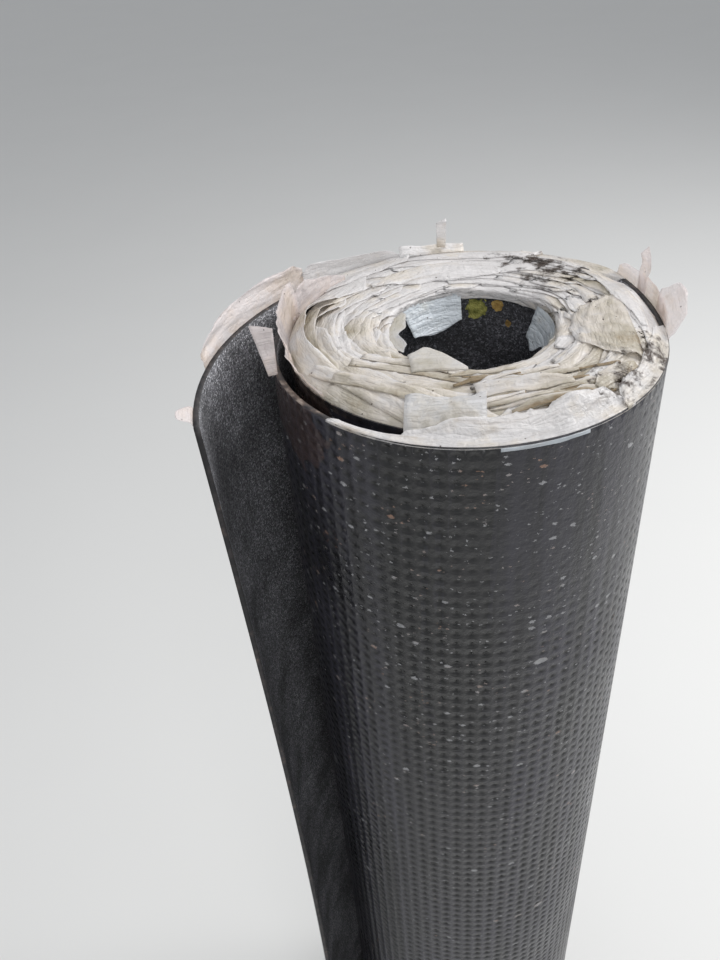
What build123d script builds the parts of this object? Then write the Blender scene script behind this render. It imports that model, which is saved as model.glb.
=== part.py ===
from build123d import *
import os
from math import cos, radians, sin

# A roll of torch-on roofing felt, stood on its end, with its last turn hanging open.
# Millimetres, +Z up. The origin is on the axis of the bore, at floor level.

# Driving dimensions
sheet_width = 1000.0       # width of the felt, so the height of the roll as it stands
sheet_thickness = 3.2      # felt, sand and skin together
roll_radius = 115.0        # outside of the loose turn, at the front
loose_gap = 7.5            # how far the tight turns stay inside that radius
bore_radius = 50.0         # the open middle that the sheet was wound round
turn_count = 16            # tight turns of felt from the bore to the loose turn

# Lines that show between the turns on both ends
line_width = 0.8
line_depth = 4.0

# Film that overhangs the upper edge of the felt
film_thickness = 1.0       # crumpled film, as thick as its folds lie
leaf_height = 13.0         # height of the leaves that stand on the end of the roll
leaf_lean = 7.0            # how far each leaf leans toward the bore
leaf_count = 7
upstand_height = 15.0      # height of the film that stands on the loose turn
fold_width = 18.0          # film folded flat over the front rim
rim_clearance = 3.0        # bare felt left at the bore and at the outside of the tight turns

bundle_radius = roll_radius - loose_gap
turn_pitch = (bundle_radius - sheet_thickness - bore_radius) / (turn_count - 1)

# The loose turn leaves the tight ones at this angle, sunk in them by its bedding, and runs on
# through tangent bends. A bend is a share of the roll's radius and the degrees that it sweeps.
loose_start_angle = 60.0
loose_bedding = 0.4
front_share, front_angle = 0.970, 295.0
side_shares = (1.49, 0.35, 1.19)
side_angles = (30.0, 30.0, 72.0)
flap_share, flap_angle = 1.455, 71.5

# The free flap bows in a little part way up, where it bends tighter. The level is a share too.
bow_level_share = 0.55
bow_share = 1.34

# The film is folded flat along this stretch of the front bend, and stands from just before its end
fold_start_angle, fold_angle = 145.0, 92.0
stand_start_angle = 235.0

side_bends = tuple(zip(side_shares, side_angles))
front_radius = front_share * roll_radius
front_shift = bundle_radius - loose_bedding - sheet_thickness / 2 - front_radius
front_centre = (front_shift * cos(radians(loose_start_angle)), front_shift * sin(radians(loose_start_angle)))


def run_on(bend, bends):
    """Draws bends that carry on from one another, and gives back the last."""
    for share, sweep in bends:
        bend = JernArc(bend @ 1, bend % 1, share * roll_radius, sweep)
    return bend


def front_arc(skip, sweep, inward=0.0):
    """Front bend of the loose turn's mid-line, or a stretch of it, or a line inside it."""
    return CenterArc(front_centre, front_radius - inward, loose_start_angle + skip, sweep)


def turn_spiral():
    """Line between the tight turns: half circles about two centres, half a pitch apart."""
    with BuildLine(Plane.XY.rotated((0, 0, loose_start_angle))) as spiral:
        for half in range(2 * (turn_count - 2)):
            side = half % 2
            radius = bore_radius + turn_pitch * (1 + half / 2)
            CenterArc((side * turn_pitch / 2, 0), radius, 180.0 * side, 180.0)
    return spiral.line


# The felt
with BuildPart() as felt_roll:
    # Tight turns, wound as one body round the open bore
    with BuildSketch(Plane.XZ):
        with Locations(((bore_radius + bundle_radius) / 2, sheet_width / 2)):
            Rectangle(bundle_radius - bore_radius, sheet_width)
    revolve(axis=Axis.Z)

    # Loose turn, from where it leaves the tight ones to the root of the free flap
    with BuildSketch():
        with BuildLine():
            root = run_on(front_arc(0.0, front_angle), side_bends)
        trace(line_width=sheet_thickness)
    extrude(amount=sheet_width)

    # Free flap: the same length of sheet at each height, bent tighter at its bow
    with BuildPart() as flap:
        for level, share in ((0.0, flap_share), (bow_level_share, bow_share), (1.0, flap_share)):
            with BuildSketch(Plane.XY.offset(level * sheet_width)):
                with BuildLine():
                    run_on(root, ((share, flap_angle * flap_share / share),))
                trace(line_width=sheet_thickness)
        loft()
    add(flap.part)

    # The spiral shows on the floor end and on the upper end
    for height, depth in ((0.0, line_depth), (sheet_width, -line_depth)):
        with BuildSketch(Plane.XY.offset(height)):
            trace(turn_spiral(), line_width=line_width)
        extrude(amount=depth, mode=Mode.SUBTRACT)

felt_roll.part.label = "felt_roll"


# The film
film_inner = bore_radius + rim_clearance
film_outer = bundle_radius - rim_clearance
leaf_step = (film_outer - film_inner - leaf_lean - film_thickness) / (leaf_count - 1)

with BuildPart() as film_margin:
    # Film between the turns, pressed over toward the bore in leaning leaves
    with BuildSketch(Plane.XZ):
        with Locations(((film_inner + film_outer) / 2, sheet_width + film_thickness / 2)):
            Rectangle(film_outer - film_inner, film_thickness)
        for leaf in range(leaf_count):
            foot = film_inner + leaf_lean + leaf * leaf_step
            tip = foot - leaf_lean
            with BuildLine():
                Polyline(
                    (foot, sheet_width),
                    (foot + film_thickness, sheet_width),
                    (tip + film_thickness, sheet_width + leaf_height),
                    (tip, sheet_width + leaf_height),
                    close=True,
                )
            make_face()
    revolve(axis=Axis.Z)

    # Film of the loose turn, folded flat over the front rim and on to the leaves
    with BuildSketch(Plane.XY.offset(sheet_width)):
        with BuildLine():
            front_arc(fold_start_angle, fold_angle, inward=(fold_width - sheet_thickness) / 2)
        trace(line_width=fold_width)
    extrude(amount=film_thickness)

    # From there it stands up, round the side and the back and out to the free edge
    with BuildSketch(Plane.XY.offset(sheet_width)):
        with BuildLine():
            side = front_arc(stand_start_angle, front_angle - stand_start_angle)
            run_on(side, side_bends + ((flap_share, flap_angle),))
        trace(line_width=film_thickness)
    extrude(amount=upstand_height)

film_margin.part.label = "film_margin"


os.makedirs("parts", exist_ok=True)
export_step(felt_roll.part, "parts/felt_roll.step")
export_step(film_margin.part, "parts/film_margin.step")
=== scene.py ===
# %% [markdown]
# A roll of torch-on roofing felt stands on its end, with its last turn hanging open.
# The imported model is the frame: everything below is built round it, in metres, with +Z up.
# The box of that model is kept.

# %% Open the frame
import math

import bpy
import numpy as np
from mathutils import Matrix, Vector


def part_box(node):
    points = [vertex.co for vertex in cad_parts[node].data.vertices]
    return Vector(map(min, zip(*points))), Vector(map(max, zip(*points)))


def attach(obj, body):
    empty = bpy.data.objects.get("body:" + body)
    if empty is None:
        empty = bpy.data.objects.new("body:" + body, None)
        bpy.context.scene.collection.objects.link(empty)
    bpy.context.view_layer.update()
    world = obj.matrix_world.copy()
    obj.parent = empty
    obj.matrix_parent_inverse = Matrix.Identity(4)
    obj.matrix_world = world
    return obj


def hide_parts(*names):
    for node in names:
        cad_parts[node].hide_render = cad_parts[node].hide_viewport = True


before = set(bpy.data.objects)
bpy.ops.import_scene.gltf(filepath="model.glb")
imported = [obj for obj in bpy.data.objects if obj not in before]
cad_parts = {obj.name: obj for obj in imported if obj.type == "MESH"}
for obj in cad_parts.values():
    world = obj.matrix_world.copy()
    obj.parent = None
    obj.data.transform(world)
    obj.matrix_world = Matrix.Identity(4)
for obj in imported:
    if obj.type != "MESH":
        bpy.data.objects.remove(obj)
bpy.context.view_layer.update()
felt_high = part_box("felt_roll")[1]
ROLL_HEIGHT = felt_high[2]
print("frame", sorted(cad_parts), "roll height", round(ROLL_HEIGHT, 4))

# %% [markdown]
# The camera stands close to the roll and just above it, tipped down by 38 degrees, so the
# upper end opens like a plate and the sides run together downward. A camera can be aimed with
# a Track To constraint, but here the three axes of its frame are known, so its matrix is
# simply written down. The lens is a short one, for a near view.

# %% Camera
from mathutils import Matrix, Vector

EYE = Vector((-0.0030, -0.4505, 1.2400))
EYE_RIGHT = Vector((0.99263, 0.09920, -0.07047))
EYE_DOWN = Vector((0.00552, -0.61530, -0.78831))
LENS_MM = 31.875
SENSOR_MM = 36.0

eye_forward = EYE_RIGHT.cross(EYE_DOWN)
camera_data = bpy.data.cameras.new("camera")
camera_data.lens = LENS_MM
camera_data.sensor_width = SENSOR_MM
camera = bpy.data.objects.new("camera", camera_data)
bpy.context.scene.collection.objects.link(camera)
camera.matrix_world = Matrix.Translation(EYE) @ Matrix(
    (EYE_RIGHT, -EYE_DOWN, -eye_forward)
).transposed().to_4x4()
bpy.context.scene.camera = camera
print("camera looks down by", round(math.degrees(math.asin(-eye_forward.z)), 1), "degrees")

# %% [markdown]
# Materials are made of nodes. A small helper keeps the cells readable: `add` makes a node,
# sets its inputs by name, and links an input when it is handed another node's output. The
# others are `add` for the few kinds of node that every finish needs: sums, products, mixes.

# %% Helpers for nodes
def new_material(name):
    """A material with an empty node tree, and its output node."""
    material = bpy.data.materials.new(name)
    material.use_nodes = True
    tree = material.node_tree
    tree.nodes.clear()
    output = tree.nodes.new("ShaderNodeOutputMaterial")
    return material, tree, output


def add(tree, kind, inputs=(), **settings):
    """Makes a node. An input's value is a number, a vector or another node's output."""
    node = tree.nodes.new(kind)
    for key, value in settings.items():
        setattr(node, key, value)
    for key, value in dict(inputs).items():
        if isinstance(value, bpy.types.NodeSocket):
            tree.links.new(value, node.inputs[key])
        else:
            node.inputs[key].default_value = value
    return node


def maths(tree, operation, first, second=0.0):
    """One Math node's result."""
    return add(tree, "ShaderNodeMath", {0: first, 1: second}, operation=operation).outputs[0]


def times(tree, *factors):
    """The factors, multiplied one after the other."""
    product = factors[0]
    for factor in factors[1:]:
        product = maths(tree, "MULTIPLY", product, factor)
    return product


def layers(tree, *patterns):
    """(pattern, weight) pairs added up, for a relief that is made of several patterns."""
    total = times(tree, *patterns[0])
    for pattern in patterns[1:]:
        total = maths(tree, "ADD", total, times(tree, *pattern))
    return total


def blend(tree, factor, first, second, mode="MIX"):
    """One Mix node for colours: each is three numbers or another node's output."""
    node = add(tree, "ShaderNodeMix", data_type="RGBA", blend_type=mode)
    for index, value in ((0, factor), (6, first), (7, second)):
        if isinstance(value, bpy.types.NodeSocket):
            tree.links.new(value, node.inputs[index])
        else:
            node.inputs[index].default_value = (*value, 1.0) if index else value
    return node.outputs[2]

# %% [markdown]
# Patterns come from noise, from distances to a spot, and from fades between two places. A fade
# is a Map Range node, which runs from one value to another and stays level past both. A ramp
# turns a pattern into colours.

# %% Helpers for patterns
def ramp(tree, factor, stops):
    """A colour ramp with (position, colour) stops."""
    node = add(tree, "ShaderNodeValToRGB", {"Fac": factor})
    elements = node.color_ramp.elements
    while len(elements) < len(stops):
        elements.new(0.5)
    for element, (position, colour) in zip(elements, stops):
        element.position = position
        element.color = (*colour, 1.0)
    return node.outputs["Color"]


def grey(level):
    """A colour with all three parts alike."""
    return (level, level, level)


def noise(tree, place, scale, detail, **more):
    """A noise pattern, about 0.5 all over. `more` names its other inputs, such as Roughness."""
    inputs = {"Vector": place, "Scale": scale, "Detail": detail, **more}
    return add(tree, "ShaderNodeTexNoise", inputs).outputs["Fac"]


def fade(tree, value, start, end, low=0.0, high=1.0):
    """`low` where the value is at `start`, `high` where it is at `end`, level past them."""
    inputs = {"Value": value, "From Min": start, "From Max": end, "To Min": low, "To Max": high}
    return add(tree, "ShaderNodeMapRange", inputs).outputs[0]


def stretched(tree, place, *scale):
    """Coordinates scaled apart along each axis, which draws a pattern out or squashes it."""
    return add(tree, "ShaderNodeMapping", {"Vector": place, "Scale": scale}).outputs[0]


def far_from(tree, place, spot):
    """The distance from one spot."""
    return add(tree, "ShaderNodeVectorMath", {0: place, 1: spot}, operation="DISTANCE").outputs["Value"]


def near_to(tree, place, spot, reach):
    """1 at a spot, 0 at its reach, and below 0 farther off."""
    return maths(tree, "SUBTRACT", 1.0, maths(tree, "DIVIDE", far_from(tree, place, spot), reach))


def bumped(tree, relief, depth, strength):
    """The normal that a Bump node makes of a relief, `depth` metres deep."""
    return add(tree, "ShaderNodeBump", {"Height": relief, "Distance": depth, "Strength": strength}).outputs[0]


def coat(tree, output, colour, **more):
    """An opaque finish: one Principled shader, linked to the material's output."""
    shader = add(tree, "ShaderNodeBsdfPrincipled", {"Base Color": colour, **more})
    tree.links.new(shader.outputs[0], output.inputs[0])

# %% [markdown]
# The felt is one long sheet. Its outer face is a glossy skin pressed with a grid of small
# dimples, so that the torch melts it evenly; its inner face is strewn with fine dark sand.
# Both finishes are worked out from the sheet's own coordinates: a UV map holds the distance
# along the sheet and the height up it, in metres, so the grid runs true round every bend.

# %% Dimples and flecks
EMBOSS_PITCH = 0.0085
FLECK_TEAR, TEAR_SCALE = 0.004, 900.0
FLECK_RADIUS = 0.26


def emboss_mask(tree, uv, half_width, half_height):
    """1 in the middle of each dimple, falling to 0 at its rim. The halves are shares of the pitch."""
    axes = add(tree, "ShaderNodeSeparateXYZ", {"Vector": uv})
    parts = []
    for axis, stretch in (("X", half_width), ("Y", half_height)):
        cell = maths(tree, "FRACT", maths(tree, "DIVIDE", axes.outputs[axis], EMBOSS_PITCH))
        offset = maths(tree, "DIVIDE", maths(tree, "SUBTRACT", cell, 0.5), stretch)
        parts.append(maths(tree, "MULTIPLY", offset, offset))
    reach = maths(tree, "SQRT", maths(tree, "ADD", *parts))
    return maths(tree, "SUBTRACT", 1.0, maths(tree, "MINIMUM", reach, 1.0))


def flecks(tree, uv, size, share, squash):
    """Small torn marks: 1 on a fleck, 0 elsewhere. `share` is how many cells carry one."""
    squashed = stretched(tree, uv, 1.0, squash, 1.0)
    wobble = add(tree, "ShaderNodeTexNoise", {"Vector": squashed, "Scale": TEAR_SCALE, "Detail": 3.0})
    torn = add(
        tree, "ShaderNodeVectorMath", {0: wobble.outputs["Color"], 1: grey(FLECK_TEAR)}, operation="MULTIPLY"
    )
    moved = add(tree, "ShaderNodeVectorMath", {0: squashed, 1: torn.outputs[0]}, operation="ADD")
    cells = add(tree, "ShaderNodeTexVoronoi", {"Vector": moved.outputs[0], "Scale": 1.0 / size})
    chance = add(tree, "ShaderNodeSeparateColor", {"Color": cells.outputs["Color"]})
    lucky = maths(tree, "LESS_THAN", chance.outputs[0], share)
    radius = times(tree, chance.outputs[1], FLECK_RADIUS)
    return times(tree, lucky, maths(tree, "LESS_THAN", cells.outputs["Distance"], radius))


print("a dimple every", EMBOSS_PITCH * 1000, "mm")

# %% [markdown]
# The dimples aren't equally deep. They are faint near the upper edge, all but gone on one worn
# patch, and deep and full of dirt in a band beside it. The fades that say so are named here,
# because they serve twice: for the colour now, and for the real dimples of the loose turn.

# %% Where the dimples are faint
CALM_MIDDLE, CALM_FADE, CALM_HEIGHTS = 0.465, (0.075, 0.035), (0.84, 0.93)
BAND_MIDDLE, BAND_FADE, BAND_HEIGHTS = 0.395, (0.042, 0.026), (0.50, 0.78)
FIRM_HEIGHTS = (0.92, 0.55)
FAINT = 0.50
CALM_LOSS = 0.85


def skin_patches(tree, uv):
    """How firmly the dimples are pressed, the mask of the dirty band, and the height."""
    sheet = add(tree, "ShaderNodeSeparateXYZ", {"Vector": uv})
    along, height = sheet.outputs["X"], sheet.outputs["Y"]
    masks = []
    for middle, side_fade, heights in (
        (CALM_MIDDLE, CALM_FADE, CALM_HEIGHTS), (BAND_MIDDLE, BAND_FADE, BAND_HEIGHTS),
    ):
        beside = maths(tree, "ABSOLUTE", maths(tree, "SUBTRACT", along, middle))
        masks.append(times(tree, fade(tree, beside, *side_fade), fade(tree, height, *heights)))
    calm, band = masks
    firm = maths(tree, "MAXIMUM", band, fade(tree, height, *FIRM_HEIGHTS))
    firm = maths(tree, "ADD", FAINT, times(tree, firm, 1.0 - FAINT))
    return times(tree, firm, maths(tree, "SUBTRACT", 1.0, times(tree, calm, CALM_LOSS))), band, height


print("worn patch", CALM_MIDDLE, "m along the sheet, dirty band", BAND_MIDDLE, "m along it")

# %% [markdown]
# Bitumen is nearly black. What shows is the wear on it: a cloudy grey, streaks where water ran,
# flecks torn by the next turn, and a reddish-brown patch at the left of the rim, which is dried
# mud and a painted reflection of a brick wall. Painted shade darkens the dimples, so the grey
# shows mostly on the ribs. A painted image could hold all that, but masks from noise stay sharp
# at any distance.

# %% The skin's colour
# The blue in these two greys is a painted reflection of the sky.
SKIN_DARK = (0.0132, 0.0126, 0.0186)
SKIN_WORN = (0.037, 0.0355, 0.0505)
HOLLOW_PAINTED_SHADE, HOLLOW_SHADE_COVER = (0.010, 0.010, 0.011), 0.80
PIT_PAINTED_SHADE, PIT_SHADE_GAIN = grey(0.003), 2.2
BAND_TONE, BAND_COVER = grey(0.004), 0.88
WEAR_STOPS = ((0.30, grey(0)), (0.75, grey(1)))
RUN_STOPS = ((0.38, grey(0.30)), (0.56, grey(1)))
DIRTY_RUN = 0.44
SCUFF_GREY = (0.36, 0.36, 0.37)
SCUFF_BROWN = (0.30, 0.17, 0.11)
SCUFF_STOPS = ((0.52, SCUFF_GREY), (0.66, SCUFF_BROWN))
SCUFF_HEIGHTS, SCUFF_SHARES = (0.55, 1.0), (0.05, 0.50)
SMALL_SIZE, MIDDLE_SIZE, LARGE_SIZE = 0.0038, 0.0095, 0.0190
SMALL_MORE, LARGE_SHARE = 0.16, 0.05
SCUFF_GAIN = 0.20
# A reddish-brown patch at the left of the rim: dried mud, and a painted reflection of a brick wall.
MUD_AND_REFLECTION_SPOT = (-0.094, -0.062, 0.985)
MUD_AND_REFLECTION_REACH, MUD_AND_REFLECTION_LEVEL = 0.060, 1.02
MUD_AND_REFLECTION_TONE = (0.062, 0.036, 0.030)


def worn_and_shaded_bitumen(tree, uv, clouds, dimple, hollow, band):
    """Cloudy and streaked, with painted shade darker toward the dimples and black in them, and black in the
    band.
    """
    streaks = noise(tree, stretched(tree, uv, 1.0, 0.05, 1.0), scale=62.0, detail=3.0, Roughness=0.7)
    tone = blend(tree, ramp(tree, clouds, WEAR_STOPS), SKIN_DARK, SKIN_WORN)
    tone = blend(tree, 1.0, tone, ramp(tree, streaks, RUN_STOPS), mode="MULTIPLY")
    # Painted shade: darker round each dimple and black in its pit.
    tone = blend(tree, times(tree, hollow, HOLLOW_SHADE_COVER), tone, HOLLOW_PAINTED_SHADE)
    tone = blend(tree, maths(tree, "MINIMUM", times(tree, dimple, PIT_SHADE_GAIN), 1.0), tone, PIT_PAINTED_SHADE)
    dirt = times(tree, band, maths(tree, "GREATER_THAN", streaks, DIRTY_RUN), BAND_COVER)
    return blend(tree, dirt, tone, BAND_TONE)


def scuffed(tree, uv, tone, height, grit, smudge):
    """Flecks of three sizes over a tone, grey or brown, and more of them higher up."""
    share = fade(tree, height, *SCUFF_HEIGHTS, *SCUFF_SHARES)
    more = maths(tree, "ADD", share, SMALL_MORE)
    marks = 0.0
    for size, portion, squash in (
        (MIDDLE_SIZE, share, 1.7), (SMALL_SIZE, more, 1.5), (LARGE_SIZE, LARGE_SHARE, 1.9),
    ):
        marks = maths(tree, "MAXIMUM", marks, flecks(tree, uv, size, portion, squash))
    cover = times(tree, marks, maths(tree, "ADD", grit, SCUFF_GAIN))
    return blend(tree, cover, tone, ramp(tree, smudge, SCUFF_STOPS))


def with_mud_and_painted_reflection(tree, place, tone, grit, smudge):
    """Reddish brown over a tone, round one spot: dried mud, and a painted reflection of a brick wall."""
    near = near_to(tree, place, MUD_AND_REFLECTION_SPOT, MUD_AND_REFLECTION_REACH)
    mud_and_painted_reflection = maths(tree, "GREATER_THAN", maths(tree, "ADD", near, smudge), MUD_AND_REFLECTION_LEVEL)
    return blend(tree, times(tree, mud_and_painted_reflection, grit), tone, MUD_AND_REFLECTION_TONE)


print("flecks of", [round(size * 1000, 1) for size in (SMALL_SIZE, MIDDLE_SIZE, LARGE_SIZE)], "mm")

# %% [markdown]
# The finish is put together here. The grid of dimples is in it twice: a small mask for the
# pit, and a wide one for the hollow round it; both darken the colour there as painted shade.
# The real dimples come with the mesh; the bump adds what is finer than they are, such as soft
# rims, grit and the crazing of old bitumen.

# %% The embossed skin
PIT_SIZE = (0.38, 0.25)
HOLLOW_SIZE, HOLLOW_POWER = (0.54, 0.50), 0.85
DULL_FADE, DULLNESS = (0.2, 0.7), (0.22, 0.42)
SKIN_BUMP, SKIN_BUMP_STRENGTH = 0.0011, 0.90


def make_skin(name):
    """Black skin with dimples, cloudy with wear, painted darker in the dimples as shade so that the ribs read
    paler, and flecked with scuffs.
    """
    material, tree, output = new_material(name)
    uv = add(tree, "ShaderNodeUVMap", uv_map="sheet").outputs[0]
    place = add(tree, "ShaderNodeTexCoord").outputs["Object"]
    pressed, band, height = skin_patches(tree, uv)
    dimple = times(tree, pressed, emboss_mask(tree, uv, *PIT_SIZE))
    hollow = maths(tree, "POWER", emboss_mask(tree, uv, *HOLLOW_SIZE), HOLLOW_POWER)
    hollow = times(tree, pressed, hollow)
    clouds = noise(tree, place, scale=14.0, detail=6.0)
    grit = noise(tree, place, scale=520.0, detail=4.0)
    smudge = noise(tree, uv, scale=30.0, detail=5.0)
    crazed = noise(tree, uv, scale=190.0, detail=4.0, Roughness=0.65)

    tone = worn_and_shaded_bitumen(tree, uv, clouds, dimple, hollow, band)
    tone = scuffed(tree, uv, tone, height, grit, smudge)
    tone = with_mud_and_painted_reflection(tree, place, tone, grit, smudge)
    dullness = fade(tree, layers(tree, (clouds, 1.0), (hollow, -0.15)), *DULL_FADE, *DULLNESS)
    relief = layers(tree, (hollow, -1.0), (dimple, -0.6), (grit, 0.20), (crazed, 0.9))
    normal = bumped(tree, relief, SKIN_BUMP, SKIN_BUMP_STRENGTH)
    coat(tree, output, tone, Normal=normal, Roughness=dullness, IOR=1.60)
    return material


skin = make_skin("embossed_skin")
print("skin nodes", len(skin.node_tree.nodes))

# %% [markdown]
# Sand on the inner face is finer than any mesh could carry, so it is a Voronoi pattern: each
# cell is one grain with its own grey, a few grains are painted pale as glints, and the cells'
# domes are the bump.
# In the bore it is painted darker, as shade, and three small growths, green and rust brown, sit on it.

# %% The sanded face
GRAIN = 0.0009
# The palest stop paints a few grains bright, as glints.
SAND_TONES = (
    (0.0, (0.045, 0.045, 0.048)), (0.50, (0.13, 0.13, 0.138)),
    (0.85, (0.27, 0.27, 0.28)), (1.0, (0.56, 0.56, 0.58)),
)
DUST_TONES = ((0.35, (0.55, 0.55, 0.56)), (0.70, (1.35, 1.35, 1.38)))
BORE_REACH, BORE_PAINTED_SHADE = 0.060, (0.36, 0.36, 0.38)
MOSS_SPOTS = (
    ((0.0044, 0.0498, 0.989), 0.0085, ((0.11, 0.12, 0.02), (0.42, 0.40, 0.11))),
    ((0.0175, 0.0468, 0.992), 0.0045, ((0.20, 0.11, 0.02), (0.50, 0.33, 0.10))),
    ((0.0242, 0.0437, 0.981), 0.0028, ((0.20, 0.12, 0.03), (0.45, 0.28, 0.09))),
)
MOSS_LEVEL, MOSS_RAGGED, MOSS_BOUND = 0.62, 0.9, -0.3


def overgrown(tree, place, tone):
    """Small ragged growths over a tone."""
    growth = noise(tree, place, scale=260.0, detail=5.0)
    for spot, reach, (young, old) in MOSS_SPOTS:
        near = near_to(tree, place, spot, reach)
        ragged = maths(tree, "GREATER_THAN", layers(tree, (near, 1.0), (growth, MOSS_RAGGED)), MOSS_LEVEL)
        grown = times(tree, ragged, maths(tree, "GREATER_THAN", near, MOSS_BOUND))
        tone = blend(tree, grown, tone, ramp(tree, growth, [(0.35, young), (0.65, old)]))
    return tone


def make_sand(name):
    """Fine dark sand with a few grains painted bright as glints."""
    material, tree, output = new_material(name)
    place = add(tree, "ShaderNodeTexCoord").outputs["Object"]
    grains = add(tree, "ShaderNodeTexVoronoi", {"Vector": place, "Scale": 1.0 / GRAIN})
    own_grey = add(tree, "ShaderNodeSeparateColor", {"Color": grains.outputs["Color"]}).outputs[0]
    dust = ramp(tree, noise(tree, place, scale=22.0, detail=5.0), DUST_TONES)
    tone = blend(tree, 1.0, ramp(tree, own_grey, SAND_TONES), dust, mode="MULTIPLY")
    flat = add(tree, "ShaderNodeVectorMath", {0: place, 1: (1.0, 1.0, 0.0)}, operation="MULTIPLY").outputs[0]
    from_axis = add(tree, "ShaderNodeVectorMath", {0: flat}, operation="LENGTH").outputs["Value"]
    # Painted shade: the sand in the bore is darkened.
    in_bore = maths(tree, "LESS_THAN", from_axis, BORE_REACH)
    tone = blend(tree, in_bore, tone, blend(tree, 1.0, tone, BORE_PAINTED_SHADE, mode="MULTIPLY"))
    dome = maths(tree, "SUBTRACT", 1.0, grains.outputs["Distance"])
    normal = bumped(tree, dome, depth=0.0006, strength=0.9)
    coat(tree, output, overgrown(tree, place, tone), Normal=normal, Roughness=0.72)
    return material


sand = make_sand("dark_sand")
print("grains of", GRAIN * 1000, "mm")

# %% [markdown]
# Where the sheet was cut, its edge is dull bitumen. Dust clings to it in brown patches, and
# more of it beside the mud, so the distance from the mud is added to the noise before the ramp.

# %% The cut edge
EDGE_TONES = (
    (0.44, (0.013, 0.012, 0.013)), (0.60, (0.038, 0.032, 0.032)),
    (0.70, (0.085, 0.060, 0.049)), (0.86, (0.32, 0.26, 0.22)),
)
CRUST_FADE, CRUST_GAIN = (0.058, 0.02), 0.20


def make_edge(name):
    """The cut edge: dull bitumen, dusted brown in places."""
    material, tree, output = new_material(name)
    place = add(tree, "ShaderNodeTexCoord").outputs["Object"]
    dust = noise(tree, place, scale=160.0, detail=6.0)
    crust = fade(tree, far_from(tree, place, MUD_AND_REFLECTION_SPOT), *CRUST_FADE, high=CRUST_GAIN)
    tone = ramp(tree, maths(tree, "ADD", dust, crust), EDGE_TONES)
    coat(tree, output, tone, Normal=bumped(tree, dust, depth=0.001, strength=0.7), Roughness=0.6)
    return material


edge = make_edge("cut_edge")
print("edge nodes", len(edge.node_tree.nodes))

# %% [markdown]
# The loose turn runs through tangent bends, each a radius and an angle. A curve drawn by hand
# could follow it too, but then the length of the sheet would be left to chance. Walking along
# the bends by distance gives every point, and its outward direction, from one small function,
# and the sheet is as long at every height. The free flap at the end bows: part way up it bends
# tighter, so its edge draws in.

# %% The way the loose turn runs
SHEET = 0.0032
ROLL_RADIUS = 0.115
BUNDLE_RADIUS = 0.1075
BORE_RADIUS = 0.050
LOOSE_START = math.radians(60.0)
LOOSE_BEDDING = 0.0004
SIDE_BENDS = ((0.970, 295.0), (1.49, 30.0), (0.35, 30.0), (1.19, 72.0))
FLAP_SHARE, FLAP_SWEEP, BOW_SHARE = 1.455, 71.5, 1.34
BOW_LEVEL = 0.55
FLAP_LENGTH = FLAP_SHARE * ROLL_RADIUS * math.radians(FLAP_SWEEP)
ROOT_LENGTH = sum(share * ROLL_RADIUS * math.radians(sweep) for share, sweep in SIDE_BENDS)
LOOSE_LENGTH = ROOT_LENGTH + FLAP_LENGTH


def loose_turn(along, height):
    """Mid-line points and outward directions of the loose turn, from distances along it."""
    radius = BUNDLE_RADIUS - LOOSE_BEDDING - SHEET / 2
    spot = radius * np.array([math.cos(LOOSE_START), math.sin(LOOSE_START)])
    heading, walked = LOOSE_START + math.pi / 2, 0.0
    points = np.zeros(along.shape + (2,))
    outward = np.zeros(along.shape + (2,))
    level = height / ROLL_HEIGHT
    bow = level * (1.0 - level) / (BOW_LEVEL * (1.0 - BOW_LEVEL))
    flap_radius = ROLL_RADIUS * (FLAP_SHARE + (BOW_SHARE - FLAP_SHARE) * bow)
    for share, sweep in SIDE_BENDS + ((None, None),):
        bend = flap_radius if share is None else share * ROLL_RADIUS + 0.0 * along
        turn = heading + (along - walked) / bend
        here = along >= walked - 1e-9
        centre = (spot[0] - bend * math.sin(heading), spot[1] + bend * math.cos(heading))
        direction = np.stack([np.sin(turn), -np.cos(turn)], axis=-1)
        reached = np.stack([centre[k] + bend * direction[..., k] for k in (0, 1)], axis=-1)
        points[here], outward[here] = reached[here], direction[here]
        if share is not None:
            arc = math.radians(sweep)
            middle = spot + share * ROLL_RADIUS * np.array([-math.sin(heading), math.cos(heading)])
            heading, walked = heading + arc, walked + share * ROLL_RADIUS * arc
            spot = middle + share * ROLL_RADIUS * np.array([math.sin(heading), -math.cos(heading)])
    return points, outward


free_edge, _ = loose_turn(np.array([LOOSE_LENGTH]), np.array([ROLL_HEIGHT]))
print("loose sheet", round(LOOSE_LENGTH, 3), "m, free edge at", np.round(free_edge[0], 4))

# %% [markdown]
# Meshes are made from arrays: points, the polygons that join them by number, a material for
# each polygon and a UV pair for each point. Operators such as Extrude would do for a few faces,
# but felt and film have so many that arrays are the quicker way. One helper turns them into an
# object.

# %% From arrays to an object
def mesh_piece(name, points, polygons, materials, material_of=None, uv=None):
    """An object from numpy points, a list of polygons and, per point, a UV pair in metres."""
    mesh = bpy.data.meshes.new(name)
    mesh.from_pydata(points.tolist(), [], polygons)
    for material in materials:
        mesh.materials.append(material)
    if material_of is not None:
        mesh.polygons.foreach_set("material_index", material_of)
    if uv is not None:
        corners = np.empty(len(mesh.loops), dtype=np.int64)
        mesh.loops.foreach_get("vertex_index", corners)
        mesh.uv_layers.new(name="sheet").data.foreach_set("uv", uv[corners].astype(np.float32).ravel())
    mesh.polygons.foreach_set("use_smooth", [True] * len(mesh.polygons))
    mesh.update()
    piece = bpy.data.objects.new(name, mesh)
    bpy.context.scene.collection.objects.link(piece)
    return piece


def ring_around(radius, angle):
    """Plan points on a circle round the axis."""
    return np.stack([radius * np.cos(angle), radius * np.sin(angle)], -1)


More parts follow.
